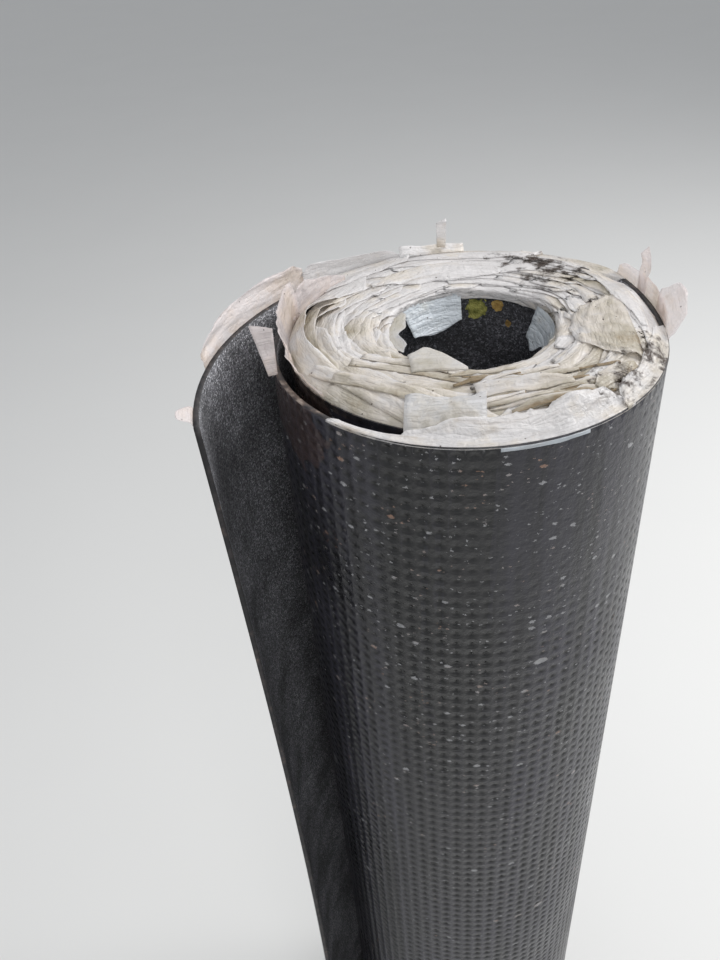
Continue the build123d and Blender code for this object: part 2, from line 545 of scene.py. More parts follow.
SKIN_SLOT, SAND_SLOT, EDGE_SLOT = 0, 1, 2
FELT_FINISHES = (skin, sand, edge)

# %% [markdown]
# The dimples are real geometry, because the rim of light that each one catches is what makes
# this skin look pressed. A displaced grid would need millions of faces. Instead each cell of
# the grid is built by hand: four corners, four rim points in a diamond, and one sunken point,
# which is twelve triangles, and all of it stays under the limit for one piece.

# %% Where the dimples lie
DIMPLE_DEPTH = 0.00072
DIMPLE_HALF = (0.36, 0.29)
RING = ((-1, 0, 0.0), (1, 0, 0.0), (0, -1, 0.0), (0, 1, 0.0), (0, 0, 1.0))


def sheet_points(along, height, outset):
    """3-D points of the loose turn's surface, moved outward from its mid-line."""
    points, outward = loose_turn(along, height)
    return np.concatenate([points + outward * outset[..., None], height[..., None]], axis=-1)


def fade_at(value, start, end):
    """The numpy twin of `fade`: 0 at start, 1 at end, level past them."""
    return np.clip((value - start) / (end - start), 0, 1)


def dimple_rings(low_u, low_v, step_u, step_v):
    """For each cell, by its lower corner: four rim points and the pit, as UV pairs and points."""
    dice = np.random.default_rng(11)
    cell_u, cell_v = low_u + step_u / 2, low_v + step_v / 2
    jitter = np.clip(dice.normal(0.0, 0.05, (2,) + cell_u.shape), -0.08, 0.08)
    cell_u, cell_v = cell_u + jitter[0] * step_u, cell_v + jitter[1] * step_v
    reach = np.clip(dice.normal(1.0, 0.12, cell_u.shape), 0.75, 1.15)
    pressed = DIMPLE_DEPTH * (0.75 + 0.5 * dice.random(cell_u.shape))
    calm = fade_at(np.abs(cell_u - CALM_MIDDLE), *CALM_FADE) * fade_at(cell_v, *CALM_HEIGHTS)
    band = fade_at(np.abs(cell_u - BAND_MIDDLE), *BAND_FADE) * fade_at(cell_v, *BAND_HEIGHTS)
    firm = np.maximum(band, fade_at(cell_v, *FIRM_HEIGHTS))
    pressed = pressed * (1.0 - CALM_LOSS * calm) * (FAINT + (1.0 - FAINT) * firm)
    half_u, half_v = DIMPLE_HALF[0] * step_u * reach, DIMPLE_HALF[1] * step_v * reach
    pairs, points = [], []
    for du, dv, sink in RING:
        ring_u, ring_v = cell_u + du * half_u, cell_v + dv * half_v
        pairs.append(np.stack([ring_u, ring_v], -1).reshape(-1, 2))
        points.append(sheet_points(ring_u, ring_v, SHEET / 2 - sink * pressed).reshape(-1, 3))
    return pairs, points

# %% [markdown]
# The first stretch of the loose turn is covered by its own end, so its cells stay plain. After
# that the outer face has its dimples. The inner face is plain squares, and a row of squares
# closes each of the four cut edges.

# %% The polygons of the loose turn
PLAIN_LENGTH = 0.14


def dimpled_cell(corners, ring):
    """Twelve triangles: eight from the corners to the rim of the dimple, four down to its pit."""
    a, b, c, d = corners
    left, right, low, high, pit = ring
    return [
        (a, left, d), (a, low, left), (a, b, low), (b, right, low),
        (b, c, right), (c, high, right), (c, d, high), (d, left, high),
        (left, low, pit), (low, right, pit), (right, high, pit), (high, left, pit),
    ]


def loose_polygons(columns, rows, plain):
    """Polygons and their materials. Points are numbered outer grid, inner grid, then rings."""
    grid = np.arange((columns + 1) * (rows + 1)).reshape(columns + 1, rows + 1)
    under = grid + grid.size
    cells = np.arange(columns * rows).reshape(columns, rows) + 2 * grid.size
    polygons, kinds = [], []
    for i in range(columns):
        for j in range(rows):
            corners = (grid[i, j], grid[i + 1, j], grid[i + 1, j + 1], grid[i, j + 1])
            ring = [cells[i, j] + k * columns * rows for k in range(len(RING))]
            new = [corners] if i < plain else dimpled_cell(corners, ring)
            polygons += new
            kinds += [SKIN_SLOT] * len(new)
            polygons.append((under[i, j + 1], under[i + 1, j + 1], under[i + 1, j], under[i, j]))
            kinds.append(SAND_SLOT)
    for i in range(columns):
        polygons.append((grid[i, rows], grid[i + 1, rows], under[i + 1, rows], under[i, rows]))
        polygons.append((under[i, 0], under[i + 1, 0], grid[i + 1, 0], grid[i, 0]))
    for j in range(rows):
        polygons.append((grid[columns, j], under[columns, j], under[columns, j + 1], grid[columns, j + 1]))
        polygons.append((under[0, j], grid[0, j], grid[0, j + 1], under[0, j + 1]))
    kinds += [EDGE_SLOT] * (2 * columns + 2 * rows)
    return polygons, kinds

# %% [markdown]
# Points that no polygon uses would be loose specks in the mesh. The plain cells leave their
# rings unused, so those points are dropped, and the others numbered again.

# %% The loose turn
def build_loose_turn():
    """The loose turn with its dimpled outer face, sanded inner face and cut edges."""
    columns = round(LOOSE_LENGTH / EMBOSS_PITCH)
    rows = round(ROLL_HEIGHT / EMBOSS_PITCH)
    step_u, step_v = LOOSE_LENGTH / columns, ROLL_HEIGHT / rows
    u, v = np.meshgrid(np.arange(columns + 1) * step_u, np.arange(rows + 1) * step_v, indexing="ij")
    half = np.full_like(u, SHEET / 2)
    faces = [sheet_points(u, v, half).reshape(-1, 3), sheet_points(u, v, -half).reshape(-1, 3)]
    pairs, rings = dimple_rings(u[:-1, :-1], v[:-1, :-1], step_u, step_v)
    points = np.concatenate(faces + rings)
    uv = np.concatenate([np.stack([u, v], -1).reshape(-1, 2)] * 2 + pairs)
    uv = uv * EMBOSS_PITCH / np.array([step_u, step_v])
    polygons, kinds = loose_polygons(columns, rows, round(PLAIN_LENGTH / step_u))
    used = np.unique(np.concatenate([np.array(p) for p in polygons]))
    renumber = np.full(len(points), -1)
    renumber[used] = np.arange(len(used))
    polygons = [tuple(renumber[list(p)].tolist()) for p in polygons]
    return mesh_piece("loose_turn", points[used], polygons, FELT_FINISHES, kinds, uv[used])


loose = build_loose_turn()
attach(loose, "root")
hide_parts("felt_roll")
print("loose turn", sum(len(p.vertices) - 2 for p in loose.data.polygons), "triangles")

# %% [markdown]
# The tight turns are one body here. Sixteen separate ones would look the same from outside,
# since each hides the next, and need many more faces. Their sides are plain walls that take
# the same finishes as the sheet, each a grid of squares bent round the axis.

# %% The walls of the tight turns
ROUND_STEPS = 96
WALL_RINGS = 40


def quads_of(grid):
    """The four corner numbers of every square of a grid of point numbers."""
    return np.stack([grid[:-1, :-1], grid[1:, :-1], grid[1:, 1:], grid[:-1, 1:]], -1).reshape(-1, 4)


def wall(radius, facing_out, material):
    """Points, polygons, UVs and materials of one round wall of the tight turns."""
    angle, level = np.meshgrid(
        np.arange(ROUND_STEPS + 1) * 2 * math.pi / ROUND_STEPS, np.linspace(0, ROLL_HEIGHT, WALL_RINGS + 1),
        indexing="ij",
    )
    points = np.concatenate([ring_around(radius, angle), level[..., None]], -1).reshape(-1, 3)
    uv = np.stack([radius * angle, level], -1).reshape(-1, 2)
    quads = quads_of(np.arange(angle.size).reshape(angle.shape))
    polygons = (quads if facing_out else quads[:, ::-1]).tolist()
    return points, polygons, uv, [material] * len(polygons)


print("a wall is", ROUND_STEPS, "squares round and", WALL_RINGS, "high")

# %% [markdown]
# The ends carry the spiral line between the turns. A Boolean could cut it, but slowly, and with
# ragged faces. Instead a strip is swept round and outward, with a narrow slot at its edge, so
# the windings are cut in as they are on a real end. Where the strip starts in the bore and
# stops at the outside, its squares shrink to nothing and are left out.

# %% The wound ends
TURN_COUNT = 16
TURN_PITCH = (BUNDLE_RADIUS - SHEET - BORE_RADIUS) / (TURN_COUNT - 1)
SLOT_WIDTH, SLOT_DEPTH = 0.0008, 0.004
SMALLEST_AREA = 1e-9


def wound_end(level, up):
    """One end of the tight turns: a spiral strip with a slot between its turns."""
    steps = ROUND_STEPS * (TURN_COUNT + 1)
    angle = LOOSE_START + np.arange(steps + 1) * 2 * math.pi / ROUND_STEPS
    line = BORE_RADIUS + TURN_PITCH * np.arange(steps + 1) / ROUND_STEPS
    sink = -SLOT_DEPTH if up else SLOT_DEPTH
    half = SLOT_WIDTH / 2
    edges = []
    for offset, depth in ((half - TURN_PITCH, 0.0), (-half, 0.0), (-half, sink), (half, sink), (half, 0.0)):
        radius = np.clip(line + offset, BORE_RADIUS, BUNDLE_RADIUS)
        edges.append(np.concatenate([ring_around(radius, angle), np.full((steps + 1, 1), level + depth)], -1))
    points = np.concatenate(edges)
    quads = quads_of(np.arange(len(points)).reshape(len(edges), steps + 1))
    a, b, c, d = (points[quads[:, k]] for k in range(4))
    quads = quads[np.linalg.norm(np.cross(c - a, d - b), axis=1) > SMALLEST_AREA]
    polygons = (quads if up else quads[:, ::-1]).tolist()
    return points, polygons, points[:, :2], [EDGE_SLOT] * len(polygons)


def join_parts(parts):
    """Puts several (points, polygons, uv, materials) parts into one set."""
    points, polygons, uv, kinds, shift = [], [], [], [], 0
    for part_points, part_polygons, part_uv, part_kinds in parts:
        points.append(part_points)
        uv.append(part_uv)
        polygons += [tuple(corner + shift for corner in polygon) for polygon in part_polygons]
        kinds += part_kinds
        shift += len(part_points)
    return np.concatenate(points), polygons, np.concatenate(uv), kinds


points, polygons, uv, kinds = join_parts([
    wall(BUNDLE_RADIUS, True, SKIN_SLOT),
    wall(BORE_RADIUS, False, SAND_SLOT),
    wound_end(ROLL_HEIGHT, True),
    wound_end(0.0, False),
])
tight = mesh_piece("tight_turns", points, polygons, FELT_FINISHES, kinds, uv)
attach(tight, "root")
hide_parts("felt_roll")
print("tight turns", len(polygons), "faces")

# %% [markdown]
# The film on the skin is wider than the felt, so a margin of it stands past the upper edge of
# every turn. It is wrinkled, milky, a little see-through, and yellowed by years of weather.
# Each leaf carries a number called tone, so one leaf can be white and the next one beige; the
# number also carries painted shade at the leaf's root and a painted highlight along its free
# edge. Noise mottles that number before a ramp turns it into a colour, and faint light and dark
# lines along the leaf are painted shading of fine pleats. Soil lies on it in a few places.

# %% The film's colour
WHITE = (0.87, 0.85, 0.845)
CREAM = (0.82, 0.77, 0.71)
BEIGE = (0.62, 0.57, 0.48)
OCHRE = (0.42, 0.33, 0.215)
FILM_TONES = ((0.16, WHITE), (0.44, CREAM), (0.72, BEIGE), (1.0, OCHRE))
PLEAT_SHADING_TONES = ((0.34, (0.84, 0.82, 0.80)), (0.44, grey(0.99)), (0.68, grey(1.05)))
PLEAT_SHADING_STOPS = ((0.38, grey(0.25)), (0.58, grey(1)))
MOTTLE_GAIN = 1.7
SOIL = (0.085, 0.058, 0.044)
DIRT_SPOTS = (
    ((0.048, 0.070, 1.010), 0.034), ((0.030, 0.088, 1.012), 0.022), ((0.098, -0.038, 1.006), 0.020),
    ((0.077, -0.066, 1.004), 0.020), ((0.060, 0.058, 1.010), 0.014),
)
SPECK_SCALE, SPECK_RADIUS, SPECK_LUCK, SPECK_COVER = 420.0, 0.22, 0.965, 0.8
GRIME_FADE, GRIME_NEARNESS, GRIME_COVER = (0.58, 0.70), 0.20, 0.90


def soiled(tree, place, colour):
    """Rare specks of soil all over, and ragged blots of it round the dirty spots."""
    specks = add(tree, "ShaderNodeTexVoronoi", {"Vector": place, "Scale": SPECK_SCALE})
    chance = add(tree, "ShaderNodeSeparateColor", {"Color": specks.outputs["Color"]}).outputs[0]
    dots = maths(tree, "LESS_THAN", specks.outputs["Distance"], SPECK_RADIUS)
    dots = times(tree, dots, maths(tree, "GREATER_THAN", chance, SPECK_LUCK), SPECK_COVER)
    colour = blend(tree, dots, colour, SOIL)
    litter = noise(tree, place, scale=120.0, detail=5.0, Roughness=0.62)
    for spot, reach in DIRT_SPOTS:
        near = near_to(tree, place, spot, reach)
        grime = fade(tree, layers(tree, (litter, 1.0), (near, GRIME_NEARNESS)), *GRIME_FADE)
        grime = times(tree, grime, maths(tree, "GREATER_THAN", near, 0.0), GRIME_COVER)
        colour = blend(tree, grime, colour, SOIL)
    return colour


def toned_with_painted_pleats(tree, clouds, streaks):
    """The leaf's tone, mottled, with faint light and dark lines along it in patches, painted shading of fine
    pleats.
    """
    tone = add(tree, "ShaderNodeAttribute", attribute_name="tone").outputs["Fac"]
    mottle = times(tree, maths(tree, "SUBTRACT", clouds, 0.5), MOTTLE_GAIN)
    colour = ramp(tree, maths(tree, "ADD", tone, mottle), FILM_TONES)
    # Painted shading of fine pleats: light and dark lines along the leaf.
    pleat_shaded = blend(tree, 1.0, colour, ramp(tree, streaks, PLEAT_SHADING_TONES), mode="MULTIPLY")
    return blend(tree, ramp(tree, clouds, PLEAT_SHADING_STOPS), colour, pleat_shaded)


print("soil in", len(DIRT_SPOTS), "places")

# %% [markdown]
# Glass shaders would be slow and clean here. A pale plastic, with some light let through from
# behind and an opacity below 1, gives the look of old film. Its wrinkles are bump: fibres and
# cracks drawn out along the leaf by the UV map, and a crumple that runs every way. Four kinds
# of film are made: a milky one, and pinkish, cool and bluish ones of other opacities. The pink
# is painted light from a brick wall shining through, and the blue a painted reflection of the sky.

# %% The film
FILM_BUMP, FILM_BUMP_STRENGTH = 0.0013, 0.65
GLOW_SHARE = 0.40
COVER_FADE, THINNER, THICKER = (0.32, 0.62), 0.22, 0.08


def film_relief(tree, place, uv, streaks):
    """Fibres, crumples, cracks, streaks and a fine crackle, added up."""
    along = stretched(tree, uv, 1.0, 5.0, 1.0)
    fibres = add(
        tree, "ShaderNodeTexNoise", {"Vector": along, "Scale": 55.0, "Detail": 5.0, "Distortion": 1.2},
        noise_type="RIDGED_MULTIFRACTAL",
    ).outputs["Fac"]
    cracks = add(tree, "ShaderNodeTexVoronoi", {"Vector": along, "Scale": 90.0}, feature="DISTANCE_TO_EDGE")
    creases = maths(tree, "MINIMUM", cracks.outputs["Distance"], 0.2)
    crumple = noise(tree, place, scale=190.0, detail=4.0, Distortion=0.8)
    crackle = add(tree, "ShaderNodeTexVoronoi", {"Vector": place, "Scale": 520.0}).outputs["Distance"]
    return layers(tree, (fibres, 0.35), (crumple, 1.3), (creases, 1.5), (streaks, 0.3), (crackle, 0.22))


def make_film(name, opacity, tint):
    """Thin wrinkled film. `tint` is multiplied over its colours."""
    material, tree, output = new_material(name)
    place = add(tree, "ShaderNodeTexCoord").outputs["Object"]
    uv = add(tree, "ShaderNodeUVMap", uv_map="sheet").outputs[0]
    clouds = noise(tree, place, scale=42.0, detail=5.0, Roughness=0.62)
    drawn = stretched(tree, uv, 1.0, 9.0, 1.0)
    streaks = noise(tree, drawn, scale=26.0, detail=4.0, Roughness=0.55, Distortion=0.6)
    colour = soiled(tree, place, toned_with_painted_pleats(tree, clouds, streaks))
    colour = blend(tree, 1.0, colour, tint, mode="MULTIPLY")
    normal = bumped(tree, film_relief(tree, place, uv, streaks), FILM_BUMP, FILM_BUMP_STRENGTH)

    shader = add(
        tree, "ShaderNodeBsdfPrincipled",
        {"Base Color": colour, "Roughness": 0.25, "Normal": normal, "IOR": 1.48},
    )
    glow = add(tree, "ShaderNodeBsdfTranslucent", {"Color": colour, "Normal": normal})
    milky = add(tree, "ShaderNodeMixShader", {0: GLOW_SHARE, 1: shader.outputs[0], 2: glow.outputs[0]})
    clear = add(tree, "ShaderNodeBsdfTransparent")
    cover = fade(tree, clouds, *COVER_FADE, low=opacity - THINNER, high=opacity + THICKER)
    mix = add(tree, "ShaderNodeMixShader", {0: cover, 1: clear.outputs[0], 2: milky.outputs[0]})
    tree.links.new(mix.outputs[0], output.inputs[0])
    return material


film = make_film("milky_film", 0.82, (1.0, 1.0, 1.0))
# Its pink tint is painted light from a brick wall, shining through the film.
film_painted_brick_pink = make_film("film_painted_brick_pink", 0.60, (1.0, 0.94, 0.93))
cool_film = make_film("cool_film", 0.66, (0.96, 0.98, 1.0))
# Its blue tint is a painted reflection of the sky.
film_painted_sky_blue = make_film("film_painted_sky_blue", 0.93, (0.88, 0.95, 1.0))
print("film nodes", len(film.node_tree.nodes))

# %% [markdown]
# The margins were trodden down toward the middle, each over the one inside it, like shingles.
# Cloth simulation could press them down, but sixteen stiff crackling layers would take long and
# come out smooth. Here every leaf is laid by a rule instead: it starts upright at its turn,
# bends over as it rises, and never sinks below the height that the leaves before it left.
# A height map on a 1 mm grid remembers that height, so layers stack up and none cut through.

# %% A height map for the layers
MAP_STEP = 0.001
MAP_HALF = 0.18
MAP_SIZE = int(2 * MAP_HALF / MAP_STEP) + 1
NO_SUPPORT = -0.060
LOOSE_POINTS = 3000
FILLED_IN = (0.0, 0.33, 0.67, 1.0)

map_axis = np.arange(MAP_SIZE) * MAP_STEP - MAP_HALF
map_x, map_y = np.meshgrid(map_axis, map_axis, indexing="ij")
from_axis = np.hypot(map_x, map_y)
support = np.full((MAP_SIZE, MAP_SIZE), NO_SUPPORT)
support[(from_axis < BUNDLE_RADIUS) & (from_axis > BORE_RADIUS)] = 0.0
distances = np.linspace(0, LOOSE_LENGTH, LOOSE_POINTS)
middle_line, outward = loose_turn(distances, np.full(LOOSE_POINTS, ROLL_HEIGHT))
for offset in np.linspace(-SHEET / 2, SHEET / 2, 5):
    cells = np.round((middle_line + outward * offset + MAP_HALF) / MAP_STEP).astype(int)
    support[cells[:, 0], cells[:, 1]] = 0.0


def map_cells(spots):
    """Rows and columns of the height map under plan points."""
    cells = np.clip(np.round((spots[..., :2] + MAP_HALF) / MAP_STEP).astype(int), 0, MAP_SIZE - 1)
    return cells[..., 0], cells[..., 1]


def remember(spots):
    """Adds a laid surface, a grid of points, to the height map."""
    fine = spots
    for axis in (0, 1):
        first, second = np.swapaxes(fine, 0, axis)[:-1], np.swapaxes(fine, 0, axis)[1:]
        between = [first + (second - first) * t for t in FILLED_IN]
        fine = np.swapaxes(np.concatenate(between), 0, axis)
    np.maximum.at(support, tuple(c.ravel() for c in map_cells(fine)), fine[..., 2].ravel())


print("height map", support.shape, "cells that carry", int((support >= 0).sum()))

# %% [markdown]
# Everything that makes one leaf differ from the next is random, but seeded, so each run gives
# the same roll. Stiff film doesn't follow a circle when it is pressed flat: it breaks into
# straight panels with a sharp fold between each two, so a leaf is cut into panels of random
# length, and each panel has its own direction. Fine wrinkles run mostly along the leaf.

# %% Panels and wrinkles
FILM_SEED = 23
WAVE_HEIGHT = 0.6
film_random = np.random.default_rng(FILM_SEED)


def waves(t, shortest, longest):
    """Broken straight lines, mostly between -1 and 1, along distances t in metres."""
    spacing = shortest + (longest - shortest) * film_random.random(int(t.max() / shortest) + 3)
    return np.interp(t, np.cumsum(spacing) - longest, film_random.normal(0.0, WAVE_HEIGHT, len(spacing)))


def wrinkles(u, v, size, slant, count=6):
    """Sharp folds, 0 to 1. `slant` is how far they may turn from the leaf's own direction."""
    total = np.zeros_like(u)
    for _ in range(count):
        turn = film_random.normal(0.0, slant)
        length = size * (0.6 + film_random.random())
        phase = film_random.random()
        bow = 0.35 * np.sin(u / (size * 3.1) + 9 * phase)
        across = (u * math.sin(turn) + v * math.cos(turn)) / length + phase + bow
        total = total + np.abs(across % 1.0 - 0.5) * 2
    return total / count


def cut_in_panels(along, length):
    """A panel number for every point, from distances along the leaf and wanted lengths there."""
    passed = np.cumsum(np.gradient(along) / length)
    lengths = 0.5 + film_random.random(int(passed[-1]) * 2 + 4)
    return np.searchsorted(np.cumsum(lengths), passed)


print("film seed", FILM_SEED)

# %% [markdown]
# A leaf is a grid of points: columns along its felt edge, rows from that edge to its free one.
# Row by row it climbs by as much as it still stands upright, and never sinks below what lies
# there. That is widened and smoothed first, since film bridges small gaps. Near its free edge
# a flat leaf is pressed onto the ones beneath, because its weight rests there.

# %% How a leaf settles
LOWEST_FALL = -0.003
LAYER_GAP = 0.0003
PRESSED_FROM, PRESSED_OVER = 0.70, 0.30
FLAT = 0.95


def spread(values, reach, pick):
    """Each value with its neighbours on a grid, put together by `pick`, first along, then across."""
    for axis in (0, 1):
        size = values.shape[axis]
        edges = [(reach, reach) if k == axis else (0, 0) for k in (0, 1)]
        padded = np.pad(values, edges, mode="edge")
        values = pick([np.take(padded, range(s, s + size), axis) for s in range(2 * reach + 1)], axis=0)
    return values


def settle(plan, rise, bent, share, base, hangs):
    """The heights of a leaf's points over the felt, from where they lie in plan."""
    if hangs:
        floor = np.full(plan.shape[:2], NO_SUPPORT)
    else:
        floor = np.maximum(support[map_cells(plan)], LOWEST_FALL) + LAYER_GAP
    stiff = spread(spread(floor, 1, np.max), 2, np.mean)
    level = np.empty_like(floor)
    level[:, 0] = base
    for row in range(1, level.shape[1]):
        level[:, row] = np.maximum(level[:, row - 1] + rise[:, row], stiff[:, row])
    level[:, 1:] = np.maximum(spread(level, 1, np.mean), floor)[:, 1:]
    if not hangs:
        pressed = np.clip((share - PRESSED_FROM) / PRESSED_OVER, 0, 1) * (np.sin(bent) > FLAT)
        level = level + (np.minimum(floor, level) - level) * pressed
    return level

# %% [markdown]
# Wrinkles are added last: where the leaf stands they push it sideways, where it lies they push
# it up. The tone is lighter along the free edge, as a painted highlight, and in the hollows of the
# folds, and darker at the root, as painted shade where the leaf rises from what lies under it.

# %% Laying a leaf
BROAD_FOLD, BROAD_WEIGHT = 0.0085, 1.4
FINE_FOLD, FINE_WEIGHT = 0.0045, 0.6
FOLD_MIDDLE = 0.8
FOLD_HEIGHT, FOLD_DEEPEST = 2.4, -0.3
HELD_AT_ROOT = 3.0
LIES_FROM = 0.5
ROOT_PAINTED_SHADE, FREE_EDGE_PAINTED_HIGHLIGHT, FOLD_TONE, FOLD_LEVEL = 0.18, 0.26, 0.16, 0.2

leaves_laid = []


def lay_leaf(
    path, inward, width, lean, tone,
    wrinkle=0.0009, bend_by=0.22, base=-0.001, rows=13, slant=0.12, hangs=False,
):
    """Lays one leaf of film along a path on a felt edge, and remembers it.

    path and inward are plan points and directions. width, lean and tone are one value for each
    point: lean is the angle from upright that the leaf has bent to, once `bend_by` of its
    width is passed. Where something is in the way, the leaf rests on it.
    """
    along = np.concatenate([[0], np.cumsum(np.linalg.norm(np.diff(path, axis=0), axis=1))])
    share = np.linspace(0, 1, rows + 1)[None, :]
    bent = lean[:, None] * np.minimum(share / bend_by, 1.0)
    step = (width / rows)[:, None]
    reach = np.concatenate([0 * step, np.cumsum(step * np.sin(bent[:, 1:]), axis=1)], axis=1)
    plan = path[:, None, :] + inward[:, None, :] * reach[..., None]
    level = settle(plan, step * np.cos(bent), bent, share, base, hangs)

    grid_u, grid_v = np.repeat(along[:, None], rows + 1, axis=1), width[:, None] * share
    fold = wrinkles(grid_u, grid_v, BROAD_FOLD, slant) * BROAD_WEIGHT
    fold = fold + wrinkles(grid_u, grid_v, FINE_FOLD, slant * 2) * FINE_WEIGHT - FOLD_MIDDLE
    wrinkle = np.broadcast_to(wrinkle, along.shape)[:, None]
    push = fold * wrinkle * FOLD_HEIGHT * np.minimum(share * HELD_AT_ROOT, 1.0)
    spots = np.concatenate([plan, level[..., None]], axis=-1)
    spots[..., :2] -= inward[:, None, :] * (np.cos(bent) * push)[..., None]
    spots[..., 2] += np.maximum(np.sin(bent), 0.0) * np.maximum(push, FOLD_DEEPEST * wrinkle)
    lies = (np.sin(bent) > LIES_FROM) & (not hangs)
    lowest = np.where(lies, support[map_cells(spots)] + LAYER_GAP, NO_SUPPORT)
    spots[:, 1:, 2] = np.maximum(spots[:, 1:, 2], lowest[:, 1:])
    remember(spots)
    # Painted shade at the root and a painted highlight along the free edge are added to the tone.
    shade = tone[:, None] + ROOT_PAINTED_SHADE * (1.0 - share) ** 2 - FREE_EDGE_PAINTED_HIGHLIGHT * share ** 8
    shade = shade + FOLD_TONE * (fold - FOLD_LEVEL)
    leaves_laid.append((spots, np.stack([grid_u, grid_v], -1), shade))

# %% [markdown]
# The leaves of one kind become one object. They are surfaces so far; a Solidify modifier gives
# them the film's thickness. The tone is written to the mesh as an attribute, which the film's
# material reads. It is stored on the points, so it changes smoothly over the leaf.

# %% From leaves to a piece of film
FILM_THICKNESS = 0.00015


def film_piece(name, material):
    """Joins the leaves laid since the last call into one object, with the film's thickness."""
    parts, tones = [], []
    for spots, uv, shade in leaves_laid:
        quads = quads_of(np.arange(shade.size).reshape(shade.shape))
        lifted = spots.reshape(-1, 3) + np.array([0.0, 0.0, ROLL_HEIGHT])
        parts.append((lifted, quads.tolist(), uv.reshape(-1, 2), [0] * len(quads)))
        tones.append(shade.ravel())
    leaves_laid.clear()
    points, polygons, uv, kinds = join_parts(parts)
    piece = mesh_piece(name, points, polygons, (material,), kinds, uv)
    piece.data.attributes.new("tone", "FLOAT", "POINT").data.foreach_set("value", np.concatenate(tones))
    solid = piece.modifiers.new("thickness", "SOLIDIFY")
    solid.thickness = FILM_THICKNESS
    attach(piece, "root")
    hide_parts("film_margin")
    top_mm = round(float(points[:, 2].max() - ROLL_HEIGHT) * 1000, 1)
    print(name, len(parts), "leaves,", len(polygons), "faces, top", top_mm, "mm over the felt")

# %% [markdown]
# Round the roll the margins lie in four ways: on the left they still stand, a crowd of thin
# edges; in front they are folded flat in long straight strips; on the right they are crumpled;
# at the back they are pressed over in smooth bands. `by_side` mixes four values, one for each
# side, by direction. The values that differ are listed here, as left, front, right and back,
# and a side is its middle direction and half its breadth, in degrees.

# %% The four sides
SIDES = ((188.0, 32.0), (-90.0, 56.0), (2.0, 40.0), (100.0, 62.0))
SIDE_MIXING = 10.0
PANEL_LENGTHS = (0.024, 0.060, 0.036, 0.080)
STRAIGHTNESS = (0.1, 0.9, 0.8, 0.4)
PANEL_TURNS = (0.03, 0.05, 0.10, 0.03)
LEANS = (85.0, 92.0, 90.0, 97.0)
PANEL_LEANS = (2.0, 2.0, 2.5, 1.0)
LEAN_WAVES = (5.0, 4.0, 4.0, 2.5)
WIDTHS = (0.018, 0.022, 0.024, 0.027)
PAST_BORE = (0.004, 0.001, 0.002, 0.003)
TONES = (0.36, 0.54, 0.54, 0.16)
WRINKLES = (0.0006, 0.0006, 0.0009, 0.0003)


def by_side(angle, left, front, right, back):
    """A value for each direction, in radians, mixed from the four sides' values."""
    weights = []
    for centre, half in SIDES:
        away = np.abs((np.degrees(angle) - centre + 180.0) % 360.0 - 180.0)
        weights.append(np.clip((half + SIDE_MIXING - away) / (2 * SIDE_MIXING), 0.001, 1.0))
    weights = np.array(weights)
    return np.tensordot(np.array([left, front, right, back]), weights / weights.sum(axis=0), axes=1)


def per_panel(panel, size):
    """One random value for each panel, spread to its points."""
    return film_random.normal(0.0, size, panel.max() + 1)[panel]

# %% [markdown]
# Each turn gets a few leaves that overlap a little, from the bore outward. On the left the
# outer ones stand steeper. A straight panel gets less width toward its ends, so that its free
# edge is a straight line too, and no leaf reaches far into the bore.

# %% Leaves over the tight turns
LEAF_STEP = 0.0027
TORN_END = 0.022
NARROWEST = 0.0025
STANDING = 42.0
EDGE_INSET = 0.0004
LEAF_OVERLAP = 0.08
SHORTEST_SWEEP = 0.35
LEAN_REACH = (0.05, 0.20)
BROAD_WAVER, BROAD_REACH = 0.20, (0.04, 0.18)
FINE_WAVER, FINE_REACH = 0.03, (0.006, 0.015)
PANEL_WIDTHS = 0.04
CUT_STRAIGHT = 0.8
END_WIDTH = 0.3
LEAF_TONES, PANEL_TONES = 0.15, 0.06


def turn_leaf(radius, start, sweep):
    """One leaf on a circle round the axis."""
    count = max(int(radius * sweep / LEAF_STEP), 10)
    angle = start + np.linspace(0, sweep, count)
    along = radius * (angle - start)
    panel = cut_in_panels(along, by_side(angle, *PANEL_LENGTHS))
    middles = [angle[panel == k].mean() if (panel == k).any() else 0.0 for k in range(panel.max() + 1)]
    middle = np.array(middles)[panel]
    straight = by_side(angle, *STRAIGHTNESS)
    facing = angle + straight * (middle - angle) + per_panel(panel, 1.0) * by_side(angle, *PANEL_TURNS)
    inner = (radius - BORE_RADIUS) / (BUNDLE_RADIUS - BORE_RADIUS)
    lean = np.radians(by_side(angle, LEANS[0] - STANDING * inner ** 6, *LEANS[1:]))
    lean = lean + np.radians(per_panel(panel, 1.0) * by_side(angle, *PANEL_LEANS))
    lean = lean + np.radians(by_side(angle, *LEAN_WAVES)) * waves(along, *LEAN_REACH)
    width = by_side(angle, *WIDTHS) * (1.0 + BROAD_WAVER * waves(along, *BROAD_REACH))
    width = width * (1.0 + FINE_WAVER * waves(along, *FINE_REACH) + per_panel(panel, PANEL_WIDTHS))
    width = width - straight * radius * (1.0 - np.cos(angle - middle)) * CUT_STRAIGHT
    width = np.minimum(width, radius - BORE_RADIUS + by_side(angle, *PAST_BORE))
    ends = np.clip(np.minimum(along, along[-1] - along) / TORN_END, 0, 1)
    width = np.maximum(width * (END_WIDTH + (1.0 - END_WIDTH) * ends), NARROWEST)
    tone = by_side(angle, *TONES) + film_random.normal(0, LEAF_TONES) + per_panel(panel, PANEL_TONES)
    path, inward = ring_around(1.0, angle) * radius, -ring_around(1.0, facing)
    lay_leaf(path, inward, width, lean, tone, wrinkle=by_side(angle, *WRINKLES), slant=0.07)


